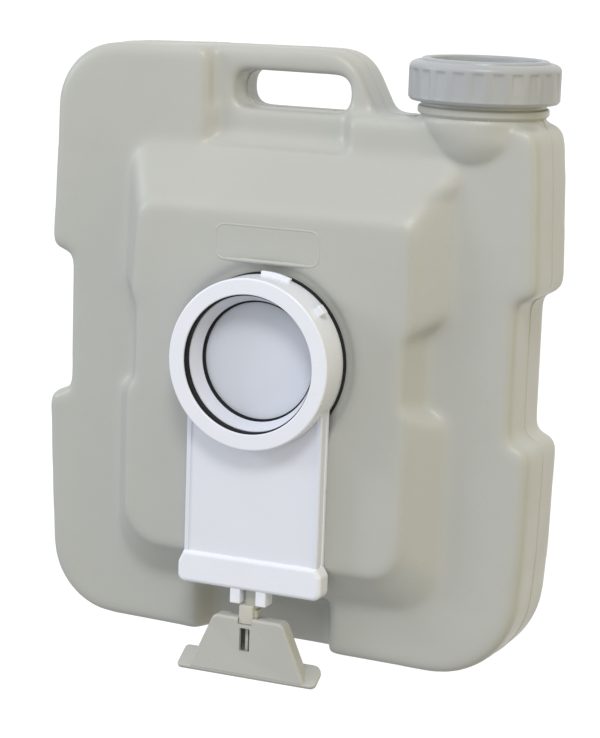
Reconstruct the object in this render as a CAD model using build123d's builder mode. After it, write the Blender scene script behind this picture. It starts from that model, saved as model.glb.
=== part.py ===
# Waste holding tank of a portable camp toilet, with its slide valve, spout cap
# and pull handle.  Millimetres.  The tank lies flat as it does in use:
# +Z is the valve axis (up, towards the bowl), +Y is the carry handle and spout
# end, -Y is the pull handle end, +X is the spout side.  The valve axis is X=Y=0
# and the base rests on Z=0.
from build123d import *
import os

os.makedirs("parts", exist_ok=True)

# ---------------------------------------------------------------- dimensions
wall = 3.2                 # blow moulded wall
z_back = 20.0              # rear face of the slab, above the base pad
z_rim = 84.0               # front face of the slab
z_mid = (z_back + z_rim) / 2.0   # parting plane, spout axis height
z_plateau = 106.0          # raised panel that carries the valve
handle_half = 21.5         # half depth of the carry handle
y_top, y_shoulder = 206.5, 165.0

well_r, z_well = 63.0, 101.0     # round seat of the valve in the raised panel
hole_r = 45.4                    # hole in the tank for the valve spigot

ring_r, mouth_r, z_face = 58.0, 47.0, 132.0   # collar of the bowl socket
throat_r = 41.0                  # clear bore through the valve
z_plate = 118.0                  # top of the slide housing
plate_half, y_plate_end = 50.0, -139.0
z_blade0, z_blade1 = 109.0, 111.4
travel = 90.0                    # pull of the gate

spout_x, spout_y = 128.6, 166.0
neck_r, bore_r, bead_r, root_r = 41.5, 37.0, 43.6, 42.6
cap_r, cap_y0, cap_y1 = 50.0, 178.0, 206.0


def rounded(points, radii):
    """Closed polygon, each corner rounded by its own radius (algebra face)."""
    with BuildSketch(mode=Mode.PRIVATE) as s:
        with BuildLine():
            Polyline(*points, close=True)
        make_face()
        for p, r in zip(points, radii):
            if r > 0:
                v = min(s.vertices(), key=lambda q: (q.X - p[0]) ** 2 + (q.Y - p[1]) ** 2)
                fillet(v, r)
    return s.sketch


# Barrel-shaped plan of the tank, without the carry handle.
plan_pts = [(-58.0, 205.6), (-174.8, 202.0), (-176.0, 130.0), (-178.6, 58.0), (-162.0, 54.0),
            (-161.5, -41.0), (-178.4, -45.5), (-175.6, -110.0), (-170.5, -200.5),
            (0.0, -205.0), (175.5, -207.5), (181.5, -120.0), (183.0, -46.0), (168.5, -42.0),
            (168.5, 50.0), (182.5, 55.0), (179.5, 130.0), (176.5, y_shoulder),
            (-58.0, y_shoulder)]
plan_rad = [10.0, 45.0, 0.0, 8.0, 6.0,
            6.0, 8.0, 0.0, 50.0,
            0.0, 60.0, 0.0, 9.0, 6.0,
            6.0, 9.0, 0.0, 11.0,
            0.0]

# Plan of the carry handle with its curved leg down to the shoulder.
grip_pts = [(-80.0, 150.0), (-80.0, 204.6), (-58.0, 205.6), (0.0, y_top), (40.5, y_top),
            (61.5, y_shoulder + 1.5), (72.0, y_shoulder - 1.0), (72.0, 150.0)]
grip_rad = [0.0, 0.0, 0.0, 0.0, 30.0, 5.0, 0.0, 0.0]

# Raised panel: outline at the top and at its foot, with the two side steps
# that clear the latches of the bowl section.
pan_top = [(-97.5, 99.0), (-101.5, 34.0), (-97.5, 26.0), (-97.5, -24.0), (-103.5, -29.0),
           (-103.0, -139.0), (103.0, -141.0), (104.5, -27.0), (99.5, -23.0),
           (99.5, 20.0), (104.0, 27.0), (103.0, 99.0)]
pan_foot = [(-115.0, 139.0), (-117.5, 44.0), (-109.0, 30.0), (-109.0, -30.0), (-118.5, -34.0),
            (-118.0, -164.0), (126.0, -167.0), (127.0, -33.0), (112.0, -27.0),
            (112.0, 25.0), (126.5, 40.0), (124.0, 142.0)]
pan_rt = [12.0, 5.0, 4.0, 3.0, 4.0, 28.0, 24.0, 4.0, 3.0, 3.0, 5.0, 10.0]
pan_rf = [18.0, 8.0, 6.0, 5.0, 6.0, 36.0, 32.0, 6.0, 5.0, 6.0, 8.0, 14.0]


def shrunk(points, radii, d):
    """Anticlockwise polygon moved inwards by d, with radii that keep each round corner's centre."""
    out, rad, n = [], [], len(points)
    for i, (p, r) in enumerate(zip(points, radii)):
        a, b = Vector(*points[i - 1]), Vector(*points[(i + 1) % n])
        v = Vector(*p)
        u, w = (v - a).normalized(), (b - v).normalized()
        turn = u.X * w.Y - u.Y * w.X
        m = Vector(-u.Y - w.Y, u.X + w.X)
        m = m * (d / (1.0 + u.X * w.X + u.Y * w.Y))
        out.append((p[0] + m.X, p[1] + m.Y))
        rad.append(max(r - d, 0.6) if turn > 0 else r + d)
    return rounded(out, rad)


def sloped(low, z0, high, z1):
    """Solid between the polygon low at height z0 and the polygon high at z1."""
    with BuildPart(mode=Mode.PRIVATE) as p:
        with BuildSketch(Plane.XY.offset(z0)):
            with BuildLine():
                Polyline(*low, close=True)
            make_face()
        with BuildSketch(Plane.XY.offset(z1)):
            with BuildLine():
                Polyline(*high, close=True)
            make_face()
        loft(ruled=True)
    return p.part


# ------------------------------------------------------------------ tank body
pan_lip = [(f[0] + 0.93 * (t[0] - f[0]), f[1] + 0.93 * (t[1] - f[1])) for f, t in zip(pan_foot, pan_top)]
with BuildPart() as panel_outer:
    with BuildSketch(Plane.XY.offset(z_rim - 8.0)):
        add(rounded(pan_foot, pan_rf))
    extrude(amount=8.0)
    with BuildSketch(Plane.XY.offset(z_rim)):
        add(rounded(pan_foot, pan_rf))
    with BuildSketch(Plane.XY.offset(z_plateau - 3.6)):
        add(rounded(pan_lip, pan_rt))
    loft(ruled=True)
    with BuildSketch(Plane.XY.offset(z_plateau - 3.6)):
        add(rounded(pan_lip, pan_rt))
    with BuildSketch(Plane.XY.offset(z_plateau)):
        add(rounded(pan_top, pan_rt))
    loft(ruled=True)

with BuildPart() as tank_body:
    with BuildSketch(Plane.XY.offset(z_back)):
        add(rounded(plan_pts, plan_rad))
    extrude(amount=z_rim - z_back)
    fillet(tank_body.faces().sort_by(Axis.Z)[-1].outer_wire().edges(), 5.6)
    fillet(tank_body.faces().sort_by(Axis.Z)[0].outer_wire().edges(), 5.6)
    add(panel_outer.part)
    # base pad, which lets the spout cap clear the ground
    with BuildSketch(Plane.XY.offset(z_back)):
        RectangleRounded(312.0, 330.0, 40.0)
    with BuildSketch(Plane.XY):
        RectangleRounded(276.0, 294.0, 30.0)
    loft(ruled=True)
    # recess around the carry handle, front and back
    add(sloped([(-54.0, 147.0), (39.0, 147.0), (39.0, 230.0), (-46.0, 230.0)], z_mid + handle_half,
               [(-62.0, 136.0), (48.0, 135.0), (48.0, 230.0), (-57.0, 230.0)], z_rim + 0.01), mode=Mode.SUBTRACT)
    add(sloped([(-54.0, 152.0), (39.0, 152.0), (39.0, 230.0), (-46.0, 230.0)], z_mid - handle_half,
               [(-62.0, 141.0), (48.0, 141.0), (48.0, 230.0), (-57.0, 230.0)], z_back - 0.01), mode=Mode.SUBTRACT)
    # carry handle with its finger hole
    with BuildSketch(Plane.XY.offset(z_mid - handle_half)):
        add(rounded(grip_pts, grip_rad))
    extrude(amount=2 * handle_half)
    with BuildSketch(Plane.XY.offset(z_back - 30)):
        with Locations((-1.5, 177.5)):
            RectangleRounded(85.0, 25.0, 9.5)
    extrude(amount=150.0, mode=Mode.SUBTRACT)
    # channel under the pull handle
    with BuildSketch(Plane.XY.offset(z_rim + 0.01)):
        with Locations((-5.0, -199.0)):
            Rectangle(102.0, 70.0)
    with BuildSketch(Plane.XY.offset(z_rim - 20.0)):
        with Locations((-5.0, -207.0)):
            Rectangle(88.0, 70.0)
    loft(ruled=True, mode=Mode.SUBTRACT)
    # round seat of the valve
    with BuildSketch(Plane.XY.offset(z_well)):
        Circle(well_r)
    with BuildSketch(Plane.XY.offset(z_plateau + 0.01)):
        Circle(well_r + 5.0)
    loft(mode=Mode.SUBTRACT)
    # spout: rounded root, neck and bead
    with BuildSketch(Plane.XY.offset(z_mid)):
        with BuildLine():
            l1 = CenterArc((spout_x, spout_y), root_r, -90.0, 90.0)
            Polyline(l1 @ 1, (spout_x + root_r, 170.0), (spout_x + bead_r, 170.6),
                     (spout_x + bead_r, 174.4), (spout_x + neck_r, 175.6), (spout_x + neck_r, 193.0),
                     (spout_x, 193.0), l1 @ 0)
        make_face()
    revolve(axis=Axis((spout_x, 0, z_mid), (0, 1, 0)))

# cavity, as one solid of its own
with BuildPart() as cavity:
    with BuildSketch(Plane.XY.offset(z_back + wall)):
        add(rounded(plan_pts, plan_rad))
        offset(amount=-wall, kind=Kind.INTERSECTION)
    extrude(amount=z_rim - z_back - 2 * wall)
    with BuildSketch(Plane.XY.offset(z_rim - 8.0)):
        add(shrunk(pan_foot, pan_rf, 4.6))
    extrude(amount=8.0 - wall)
    with BuildSketch(Plane.XY.offset(z_rim - wall)):
        add(shrunk(pan_foot, pan_rf, 4.6))
    with BuildSketch(Plane.XY.offset(z_plateau - wall)):
        add(shrunk(pan_top, pan_rt, 4.6))
    loft(ruled=True)
    with BuildSketch(Plane.XY.offset(z_back + wall)):
        RectangleRounded(302.0, 320.0, 36.0)
    with BuildSketch(Plane.XY.offset(wall + 0.2)):
        RectangleRounded(267.0, 285.0, 26.0)
    loft(ruled=True)
    add(sloped([(-58.5, 143.0), (43.5, 143.0), (43.5, 240.0), (-50.5, 240.0)], z_mid + handle_half - wall,
               [(-69.0, 129.0), (54.0, 129.0), (54.0, 240.0), (-64.0, 240.0)], z_rim + 2.0), mode=Mode.SUBTRACT)
    add(sloped([(-58.5, 143.0), (43.5, 143.0), (43.5, 240.0), (-50.5, 240.0)], z_mid - handle_half + wall,
               [(-69.0, 129.0), (54.0, 129.0), (54.0, 240.0), (-64.0, 240.0)], z_back - 2.0), mode=Mode.SUBTRACT)
    with BuildSketch(Plane.XY.offset(z_rim + 6.0)):
        with Locations((-5.0, -199.0)):
            Rectangle(116.0, 78.0)
    with BuildSketch(Plane.XY.offset(z_rim - 20.0 - wall)):
        with Locations((-5.0, -207.0)):
            Rectangle(94.0, 77.0)
    loft(ruled=True, mode=Mode.SUBTRACT)
    with BuildSketch(Plane.XY.offset(z_well - wall)):
        Circle(well_r + 7.0)
    extrude(amount=20.0, mode=Mode.SUBTRACT)
    with BuildSketch(Plane.XY.offset(z_mid)):
        with BuildLine():
            l2 = CenterArc((spout_x, spout_y), root_r - wall - 0.4, -90.0, 90.0)
            Polyline(l2 @ 1, (spout_x + bore_r, 171.0), (spout_x + bore_r, 205.0), (spout_x, 205.0), l2 @ 0)
        make_face()
    revolve(axis=Axis((spout_x, 0, z_mid), (0, 1, 0)))

with BuildPart() as tank:
    add(tank_body.part)
    add(cavity.part, mode=Mode.SUBTRACT)
    # hole for the valve spigot, with three notches that let its ears through
    with BuildSketch(Plane.XY.offset(z_well - 20.0)):
        Circle(hole_r)
        with PolarLocations(hole_r + 1.0, 3, start_angle=30.0):
            Rectangle(9.0, 22.0)
    extrude(amount=40.0, mode=Mode.SUBTRACT)
    # blank name plate outline, a low raised line on the panel
    with BuildSketch(Plane.XY.offset(z_plateau - 0.5)):
        with Locations((0.0, 77.3)):
            RectangleRounded(76.0, 23.5, 6.0)
            RectangleRounded(73.0, 20.5, 4.6, mode=Mode.SUBTRACT)
    extrude(amount=1.2)
tank.part.label = "tank_body"
export_step(tank.part, "parts/tank_body.step")

# -------------------------------------------------------------- slide housing
screw_spots = [(47.8, -25.0), (-47.8, -25.0), (47.8, -85.0), (-47.8, -85.0),
               (0.0, 49.2), (46.2, 16.8), (-46.2, 16.8), (48.0, -151.0), (-48.0, -151.0)]
z_base0, z_base1 = 106.3, 108.7
chan = 45.6                # half width of the blade's channel
z_chan1 = 111.8


with BuildPart() as valve_base:
    with BuildSketch(Plane.XY.offset(z_base0)):
        Circle(57.4)
        with Locations((0.0, -78.0)):
            Rectangle(2 * plate_half, 156.0)
    extrude(amount=z_base1 - z_base0)
    with BuildSketch(Plane.XY.offset(103.6)):
        Circle(57.4)
    extrude(amount=z_base0 - 103.6)
    with BuildSketch(Plane.XY.offset(84.0)):
        Circle(44.6)
    extrude(amount=30.0 - (114.0 - z_base1))
    # ears that lock under the tank wall
    with BuildSketch(Plane.XY.offset(92.4)):
        with PolarLocations(46.4, 3, start_angle=90.0):
            Rectangle(7.0, 18.0)
    extrude(amount=5.0)
    with BuildSketch(Plane.XY.offset(80.0)):
        Circle(throat_r)
    extrude(amount=40.0, mode=Mode.SUBTRACT)
    with BuildSketch(Plane.XY.offset(107.2)):
        Circle(43.8)
        Circle(throat_r - 1.0, mode=Mode.SUBTRACT)
    extrude(amount=5.0, mode=Mode.SUBTRACT)
    with BuildSketch(Plane.XY.offset(107.9)):
        with Locations((0.0, -105.0)):
            Rectangle(10.4, 110.0)
    extrude(amount=5.0, mode=Mode.SUBTRACT)
    with BuildSketch(Plane.XY.offset(103.0)):
        with Locations(*screw_spots):
            Circle(2.25)
    extrude(amount=107.65 - 103.0, mode=Mode.SUBTRACT)
    with BuildSketch(Plane.XY.offset(107.0)):
        with Locations(*screw_spots):
            Circle(1.6)
    extrude(amount=4.0, mode=Mode.SUBTRACT)
valve_base.part.label = "valve_base"
export_step(valve_base.part, "parts/valve_base.step")

with BuildPart() as valve_base_gasket:
    with BuildSketch(Plane.XY.offset(z_well)):
        Circle(58.8)
        Circle(46.2, mode=Mode.SUBTRACT)
    extrude(amount=2.6)
valve_base_gasket.part.label = "valve_base_gasket"
export_step(valve_base_gasket.part, "parts/valve_base_gasket.step")

with BuildPart() as gate_lower_seal:
    with BuildSketch(Plane.XY.offset(107.2)):
        Circle(43.7)
        Circle(throat_r + 0.2, mode=Mode.SUBTRACT)
    extrude(amount=1.5)
gate_lower_seal.part.label = "gate_lower_seal"
export_step(gate_lower_seal.part, "parts/gate_lower_seal.step")

with BuildPart() as valve_top_plate:
    with BuildSketch(Plane.XY.offset(z_base1)):
        Circle(52.7)
        with Locations((0.0, -69.5)):
            Rectangle(2 * plate_half, 139.0)
    extrude(amount=z_plate - z_base1)
    # two shallow steps that frame the flat of the plate
    chamfer(valve_top_plate.faces().sort_by(Axis.Z)[-1].edges().filter_by(Axis.Y), 1.6)
    # tower that carries the lip seal, with its funnel
    with BuildSketch(Plane.XY.offset(z_plate - 0.5)):
        Circle(51.4)
    extrude(amount=6.5)
    with BuildSketch(Plane.XY.offset(z_base1 - 1.0)):
        Circle(throat_r + 0.6)
    extrude(amount=30.0, mode=Mode.SUBTRACT)
    with BuildSketch(Plane.XY.offset(114.6)):
        Circle(throat_r + 0.6)
    with BuildSketch(Plane.XY.offset(124.01)):
        Circle(46.0)
    loft(mode=Mode.SUBTRACT)
    # channel of the blade, groove of the upper seal, groove of the stem
    with BuildSketch(Plane.XY.offset(z_base1 - 1.0)):
        Circle(chan)
        with Locations((0.0, -100.0)):
            Rectangle(2 * chan, 200.0)
    extrude(amount=z_chan1 - z_base1 + 1.0, mode=Mode.SUBTRACT)
    with BuildSketch(Plane.XY.offset(z_chan1 - 0.5)):
        Circle(44.6)
    extrude(amount=114.5 - z_chan1 + 0.5, mode=Mode.SUBTRACT)
    with BuildSketch(Plane.XY.offset(z_chan1 - 1.0)):
        with Locations((0.0, -120.0)):
            Rectangle(10.4, 146.0)
    extrude(amount=2.0, mode=Mode.SUBTRACT)
    with BuildSketch(Plane.XY.offset(z_base1 - 1.0)):
        with Locations(*screw_spots):
            Circle(1.5)
    extrude(amount=7.6, mode=Mode.SUBTRACT)
valve_top_plate.part.label = "valve_top_plate"
export_step(valve_top_plate.part, "parts/valve_top_plate.step")

with BuildPart() as gate_upper_seal:
    with BuildSketch(Plane.XY.offset(111.7)):
        Circle(44.4)
        Circle(40.3, mode=Mode.SUBTRACT)
    extrude(amount=2.8)
gate_upper_seal.part.label = "gate_upper_seal"
export_step(gate_upper_seal.part, "parts/gate_upper_seal.step")

with BuildPart() as housing_end_cap:
    with BuildSketch(Plane.XY.offset(z_base0)):
        with BuildLine():
            Polyline((-50.4, -139.1), (-54.0, -145.0), (-54.0, -158.0), (54.0, -158.0),
                     (54.0, -145.0), (50.4, -139.1), close=True)
        make_face()
        fillet(vertices().group_by(Axis.Y)[0], 3.0)
    extrude(amount=120.0 - z_base0)
    chamfer(housing_end_cap.faces().sort_by(Axis.Z)[-1].edges(), 1.4)
    # guide lugs each side of the stem
    with BuildSketch(Plane.XY.offset(107.0)):
        with Locations((9.6, -162.8), (-9.6, -162.8)):
            Rectangle(7.6, 10.4)
    extrude(amount=11.6)
    with BuildSketch(Plane.XY.offset(z_base0 - 1.0)):
        with Locations((0.0, -146.15)):
            Rectangle(2 * plate_half + 0.2, 20.0)
    extrude(amount=z_base1 + 1.05 - z_base0, mode=Mode.SUBTRACT)
    with BuildSketch(Plane.XY.offset(z_base1 - 1.0)):
        with Locations((0.0, -142.6)):
            Rectangle(2 * chan, 10.6)
    extrude(amount=z_chan1 - z_base1 + 1.0, mode=Mode.SUBTRACT)
    with BuildSketch(Plane.XY.offset(105.0)):
        with Locations((0.0, -150.0)):
            Rectangle(10.4, 40.0)
    extrude(amount=7.8, mode=Mode.SUBTRACT)
    with BuildSketch(Plane.XY.offset(105.0)):
        with Locations((0.0, -151.5)):
            Rectangle(16.4, 3.6)
    extrude(amount=9.4, mode=Mode.SUBTRACT)
    with BuildSketch(Plane.XY.offset(z_base1 - 1.0)):
        with Locations((48.0, -151.0), (-48.0, -151.0)):
            Circle(1.5)
    extrude(amount=7.6, mode=Mode.SUBTRACT)
housing_end_cap.part.label = "housing_end_cap"
export_step(housing_end_cap.part, "parts/housing_end_cap.step")

with BuildPart() as stem_wiper_seal:
    with BuildSketch(Plane.XZ.offset(149.8)):
        with Locations((0.0, 111.5)):
            Rectangle(16.2, 5.4)
        with Locations((0.0, 110.3)):
            Rectangle(9.6, 4.6, mode=Mode.SUBTRACT)
    extrude(amount=3.4)
stem_wiper_seal.part.label = "stem_wiper_seal"
export_step(stem_wiper_seal.part, "parts/stem_wiper_seal.step")

with BuildPart() as housing_screws:
    with BuildSketch(Plane.XY.offset(106.4)):
        with Locations(*screw_spots):
            Circle(2.1)
    extrude(amount=1.2)
    with BuildSketch(Plane.XY.offset(107.6)):
        with Locations(*screw_spots):
            Circle(1.4)
    extrude(amount=6.8)
housing_screws.part.label = "housing_screws"
export_step(housing_screws.part, "parts/housing_screws.step")

# ----------------------------------------------------------------------- gate
with BuildPart() as gate_blade:
    with BuildSketch(Plane.XY.offset(z_blade0)):
        Circle(45.0)
        with Locations((0.0, -28.0)):
            Rectangle(90.0, 56.0)
        with Locations((0.0, -51.0)):
            Rectangle(9.2, 12.0, mode=Mode.SUBTRACT)
        with Locations((0.0, -48.0)):
            Rectangle(18.2, 4.2, mode=Mode.SUBTRACT)
    extrude(amount=z_blade1 - z_blade0)
gate_blade.part.label = "gate_blade"
export_step(gate_blade.part, "parts/gate_blade.step")

with BuildPart() as gate_stem:
    # T head in the blade, flat shaft, thick neck, thin tongue inside the handle
    with BuildSketch(Plane.XY.offset(z_blade0)):
        with Locations((0.0, -48.0)):
            Rectangle(18.0, 4.0)
        with Locations((0.0, -53.5)):
            Rectangle(9.0, 9.0)
    extrude(amount=z_blade1 - z_blade0)
    with BuildSketch(Plane.XY.offset(108.3)):
        with Locations((0.0, -113.5)):
            Rectangle(9.0, 114.0)
    extrude(amount=4.0)
    with BuildSketch(Plane.XY.offset(106.0)):
        with Locations((0.0, -177.6)):
            Rectangle(12.6, 17.2)
    extrude(amount=8.9)
    with BuildSketch(Plane.XY.offset(114.2)):
        with Locations((-2.2, -175.7)):
            Rectangle(9.6, 13.4)
    extrude(amount=2.6)
    with BuildSketch(Plane.XY.offset(106.8)):
        with Locations((-1.8, -194.5)):
            Rectangle(2.2, 18.0)
    extrude(amount=7.2)
    with Locations(Location((0.0, -181.4, 110.6), (0, 90, 0))):
        Hole(1.6)
gate_stem.part.label = "gate_stem"
export_step(gate_stem.part, "parts/gate_stem.step")

# ---------------------------------------------------------------- pull handle
z_h0 = 107.6               # rear edge of the handle's body
with BuildPart() as pull_handle:
    # shallow tray, open at the rear
    with BuildSketch(Plane.XY.offset(z_h0)):
        with BuildLine():
            Polyline((-25.8, -177.8), (-43.6, -217.6), (43.6, -217.6), (25.8, -177.8), close=True)
        make_face()
        fillet(vertices().group_by(Axis.Y)[-1], 5.0)
    extrude(amount=z_plate - z_h0)
    chamfer(pull_handle.faces().sort_by(Axis.Z)[-1].edges().group_by(Axis.Y)[-1], 1.2)
    with BuildSketch(Plane.XY.offset(z_h0 - 1.0)):
        with BuildLine():
            Polyline((-22.8, -180.4), (-36.5, -211.0), (36.5, -211.0), (22.8, -180.4), close=True)
        make_face()
    extrude(amount=z_plate - 2.8 - z_h0 + 1.0, mode=Mode.SUBTRACT)
    # foot for the fingers: a plate that slants forward and runs out past both sides
    with BuildSketch(Plane.YZ.offset(-53.0)):
        with BuildLine():
            Polyline((-207.2, 101.5), (-211.2, 101.5), (-220.4, 114.6), (-221.0, 116.4),
                     (-219.9, z_plate), (-217.9, z_plate), (-207.0, 102.3), close=True)
        make_face()
    extrude(amount=104.4)
    with BuildSketch(Plane.YZ.offset(-60.0)):
        with BuildLine():
            Polyline((-211.2, 101.5), (-211.2, 96.0), (-226.0, 96.0), (-226.0, 114.6), (-220.4, 114.6), close=True)
        make_face()
    extrude(amount=120.0, mode=Mode.SUBTRACT)
    with BuildSketch(Plane.XY.offset(98.0)):
        with Locations((0.0, -200.0)):
            Rectangle(140.0, 90.0)
        with Locations((-0.8, -191.0)):
            RectangleRounded(104.4, 60.0, 7.0, mode=Mode.SUBTRACT)
    extrude(amount=24.0, mode=Mode.SUBTRACT)
    # pocket for the end of the stem, closed at the rear
    with BuildSketch(Plane.XY.offset(103.4)):
        with Locations((0.0, -192.6)):
            Rectangle(22.2, 26.4)
    extrude(amount=115.8 - 103.4)
    with BuildSketch(Plane.XY.offset(105.0)):
        with Locations((0.0, -192.2)):
            Rectangle(18.6, 23.6)
    extrude(amount=115.2 - 105.0, mode=Mode.SUBTRACT)
    # ribs that hold the clip pin
    with BuildSketch(Plane.XY.offset(104.0)):
        with Locations((9.0, -181.7), (-9.0, -181.7)):
            Rectangle(3.2, 5.4)
    extrude(amount=11.6)
    # way in for the stem, with a notch in front, and the window over its tongue
    with BuildSketch(Plane.XY.offset(105.0)):
        with Locations((0.0, -178.8)):
            Rectangle(13.2, 5.4)
    extrude(amount=10.7, mode=Mode.SUBTRACT)
    with BuildSketch(Plane.XY.offset(114.0)):
        with Locations((-2.2, -178.3)):
            Rectangle(10.2, 8.8)
    extrude(amount=8.0, mode=Mode.SUBTRACT)
    with BuildSketch(Plane.XY.offset(114.0)):
        with Locations((-1.6, -192.9)):
            RectangleRounded(7.6, 16.6, 0.8)
    extrude(amount=8.0, mode=Mode.SUBTRACT)
    with Locations(Location((0.0, -181.4, 110.6), (0, 90, 0))):
        Hole(1.55)
pull_handle.part.label = "pull_handle"
export_step(pull_handle.part, "parts/pull_handle.step")

with BuildPart() as handle_clip_pin:
    with BuildSketch(Plane.YZ.offset(-11.0)):
        with Locations((-181.4, 110.6)):
            Circle(1.5)
    extrude(amount=22.0)
handle_clip_pin.part.label = "handle_clip_pin"
export_step(handle_clip_pin.part, "parts/handle_clip_pin.step")

# ---------------------------------------------------------------- bowl socket
with BuildPart() as socket_ring:
    with BuildSketch(Plane.XZ):
        with BuildLine():
            Polyline((53.0, 108.8), (ring_r, 108.8), (ring_r, z_face - 1.2), (ring_r - 1.2, z_face),
                     (mouth_r + 0.9, z_face), (mouth_r, z_face - 0.9), (mouth_r, z_face - 1.6),
                     (50.2, z_face - 1.6), (50.2, 124.1), (53.0, 124.1), close=True)
        make_face()
    revolve(axis=Axis.Z)
    # small lug, and the wide tab at the far side
    with BuildSketch(Plane.XY.offset(114.0)):
        with PolarLocations(59.0, 1, start_angle=40.5):
            Rectangle(6.0, 6.6)
    extrude(amount=6.0)
    with BuildSketch(Plane.XY.offset(108.8)):
        with PolarLocations(58.8, 3, start_angle=75.3, angular_range=10.8, endpoint=True):
            Rectangle(5.0, 11.0)
    extrude(amount=3.4)
    # mouth in the skirt for the slide housing
    with BuildSketch(Plane.XY.offset(100.0)):
        with Locations((0.0, -40.0)):
            Rectangle(2 * plate_half + 0.3, 80.0)
    extrude(amount=18.15, mode=Mode.SUBTRACT)
socket_ring.part.label = "socket_ring"
export_step(socket_ring.part, "parts/socket_ring.step")

with BuildPart() as socket_lip_seal:
    with BuildSketch(Plane.XZ):
        with BuildLine():
            Polyline((50.1, 124.1), (50.1, 130.3), (46.6, 130.3), (46.6, 124.1), close=True)
        make_face()
    revolve(axis=Axis.Z)
socket_lip_seal.part.label = "socket_lip_seal"
export_step(socket_lip_seal.part, "parts/socket_lip_seal.step")

# ------------------------------------------------------------------ spout cap
cap_axis = Axis((spout_x, 0, z_mid), (0, 1, 0))
with BuildPart() as spout_cap_ring:
    with BuildSketch(Plane.XY.offset(z_mid)):
        with BuildLine():
            Polyline((spout_x + 44.6, cap_y0), (spout_x + cap_r - 1.6, cap_y0), (spout_x + cap_r, cap_y0 + 2.0),
                     (spout_x + cap_r, cap_y1 - 6.3), (spout_x + cap_r - 1.4, cap_y1 - 3.9),
                     (spout_x + cap_r - 4.6, cap_y1 - 2.6), (spout_x + cap_r - 6.2, cap_y1 - 0.8),
                     (spout_x + 43.0, cap_y1), (spout_x + 41.2, cap_y1), (spout_x + 40.0, cap_y1 - 1.2),
                     (spout_x + 40.0, 199.9), (spout_x + 41.0, 199.9),
                     (spout_x + 41.0, 196.6), (spout_x + 44.6, 196.6), close=True)
        make_face()
    revolve(axis=cap_axis)
    # wide grip flutes
    with BuildSketch(Plane.XZ.offset(-cap_y0 + 0.5)):
        with Locations((spout_x, z_mid)):
            with PolarLocations(cap_r + 4.3, 24):
                Circle(5.5)
    extrude(amount=-(cap_y1 - cap_y0 - 6.0), mode=Mode.SUBTRACT)
spout_cap_ring.part.label = "spout_cap_ring"
export_step(spout_cap_ring.part, "parts/spout_cap_ring.step")

with BuildPart() as spout_cap_disc:
    with BuildSketch(Plane.XY.offset(z_mid)):
        with BuildLine():
            Polyline((spout_x, 195.0), (spout_x + 43.9, 195.0), (spout_x + 43.9, 196.4), (spout_x + 40.7, 196.4),
                     (spout_x + 40.7, 199.2), (spout_x + 36.0, 199.2), (spout_x + 34.5, 198.0),
                     (spout_x, 198.0), close=True)
        make_face()
    revolve(axis=cap_axis)
spout_cap_disc.part.label = "spout_cap_disc"
export_step(spout_cap_disc.part, "parts/spout_cap_disc.step")

with BuildPart() as spout_cap_gasket:
    with BuildSketch(Plane.XY.offset(z_mid)):
        with BuildLine():
            Polyline((spout_x + 36.0, 193.3), (spout_x + 42.4, 193.3), (spout_x + 42.4, 194.9),
                     (spout_x + 36.0, 194.9), close=True)
        make_face()
    revolve(axis=cap_axis)
spout_cap_gasket.part.label = "spout_cap_gasket"
export_step(spout_cap_gasket.part, "parts/spout_cap_gasket.step")
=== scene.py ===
import math

import bmesh
import bpy
import numpy as np
from mathutils import Matrix, Vector


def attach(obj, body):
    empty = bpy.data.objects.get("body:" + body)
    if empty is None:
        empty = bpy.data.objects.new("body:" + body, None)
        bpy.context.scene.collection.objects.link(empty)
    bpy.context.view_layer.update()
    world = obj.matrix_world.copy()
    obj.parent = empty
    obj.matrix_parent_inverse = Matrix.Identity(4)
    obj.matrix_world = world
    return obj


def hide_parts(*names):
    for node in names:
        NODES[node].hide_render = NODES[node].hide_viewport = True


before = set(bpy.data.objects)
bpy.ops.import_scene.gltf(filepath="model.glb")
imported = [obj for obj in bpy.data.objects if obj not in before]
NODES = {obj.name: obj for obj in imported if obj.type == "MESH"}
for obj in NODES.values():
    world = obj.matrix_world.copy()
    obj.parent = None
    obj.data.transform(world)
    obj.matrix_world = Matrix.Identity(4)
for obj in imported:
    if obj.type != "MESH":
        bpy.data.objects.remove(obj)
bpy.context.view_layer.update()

MM = 0.001
SX, SZ = 0.1286, 0.052  # spout axis, along +Y
PI = math.pi


# ------------------------------------------------------------------ geometry
def make(name, verts, faces):
    me = bpy.data.meshes.new(name)
    me.from_pydata([tuple(v) for v in verts], [], faces)
    ob = bpy.data.objects.new(name, me)
    bpy.context.scene.collection.objects.link(ob)
    return ob


def clean(ob, angle=32.0, weld=2e-6):
    """Welds, points the normals outwards and marks sharp edges."""
    bm = bmesh.new()
    bm.from_mesh(ob.data)
    bmesh.ops.remove_doubles(bm, verts=bm.verts, dist=weld)
    bmesh.ops.dissolve_degenerate(bm, edges=bm.edges, dist=1e-7)
    bmesh.ops.recalc_face_normals(bm, faces=bm.faces)
    for f in bm.faces:
        f.smooth = True
    lim = math.radians(angle)
    for e in bm.edges:
        e.smooth = len(e.link_faces) == 2 and e.calc_face_angle(0.0) < lim
    bm.to_mesh(ob.data)
    bm.free()
    ob.data.update()
    return ob


def bake_mods(ob):
    dg = bpy.context.evaluated_depsgraph_get()
    me = bpy.data.meshes.new_from_object(ob.evaluated_get(dg))
    ob.modifiers.clear()
    old = ob.data
    ob.data = me
    bpy.data.meshes.remove(old)
    me.name = ob.name
    return ob


def boolean(ob, other, op="DIFFERENCE"):
    clean(other)
    m = ob.modifiers.new("b", "BOOLEAN")
    m.operation, m.object, m.solver = op, other, "EXACT"
    bpy.context.view_layer.update()
    bake_mods(ob)
    me = other.data
    bpy.data.objects.remove(other)
    bpy.data.meshes.remove(me)
    return ob


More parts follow.
